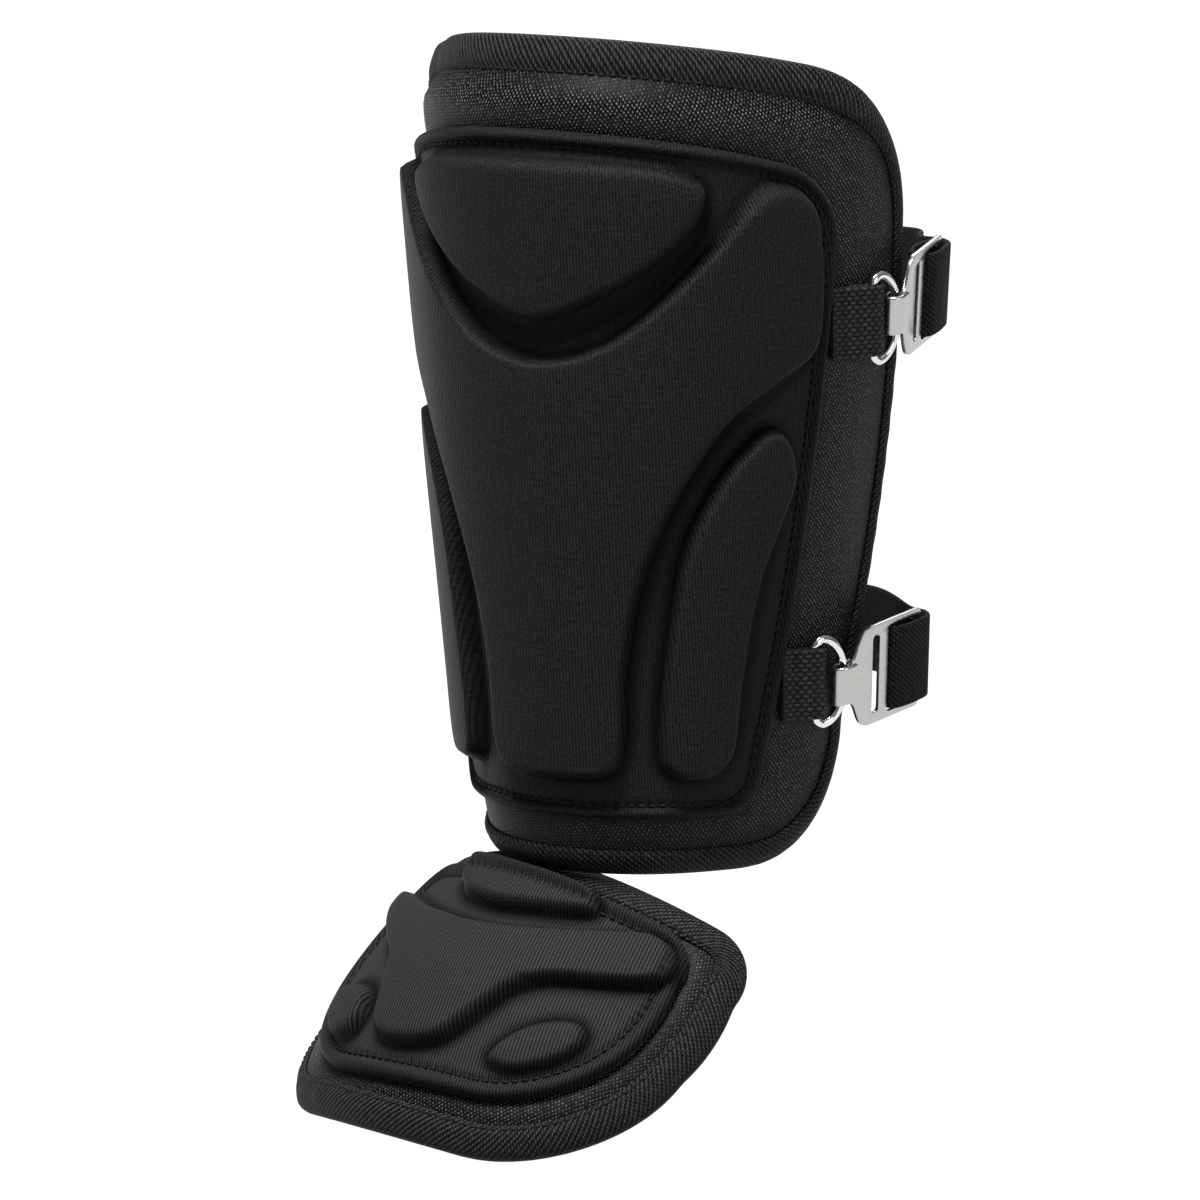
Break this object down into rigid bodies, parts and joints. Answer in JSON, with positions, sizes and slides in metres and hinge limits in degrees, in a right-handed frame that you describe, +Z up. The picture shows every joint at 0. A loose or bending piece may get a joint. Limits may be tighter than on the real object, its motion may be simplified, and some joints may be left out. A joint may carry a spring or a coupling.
{
  "type": "batter's ankle guard",
  "caption": "Curved shin pad and instep pad of mesh-covered foam with bound edges and moulded panels, held round the leg by elastic straps that hook into wire rings.",
  "frame": {"origin": "on the leg's axis, level with the shin pad's lower edge", "axes": "+Z up the leg, -Y the way the shin faces, +X towards the hooks"},
  "size_m": [0.1692, 0.1817, 0.3164],
  "materials": {
    "mesh_fabric": "black woven mesh",
    "binding_tape": "black twill tape",
    "moulded_foam": "matte black knit over moulded foam",
    "webbing": "black basket-weave webbing",
    "ring_wire": "bright plated wire",
    "hook_plate": "satin nickel plate",
    "elastic": "black ribbed elastic"
  },
  "bodies": {
    "root": {"shin_pad": "mesh_fabric", "shin_binding": "binding_tape", "shin_panel": "moulded_foam", "foot_pad": "mesh_fabric", "foot_binding": "binding_tape", "foot_panel": "moulded_foam", "upper_ring_tab": "webbing", "upper_ring": "ring_wire", "upper_hook": "hook_plate", "upper_strap": "elastic", "lower_ring_tab": "webbing", "lower_ring": "ring_wire", "lower_hook": "hook_plate", "lower_strap": "elastic"}
  },
  "joints": []
}
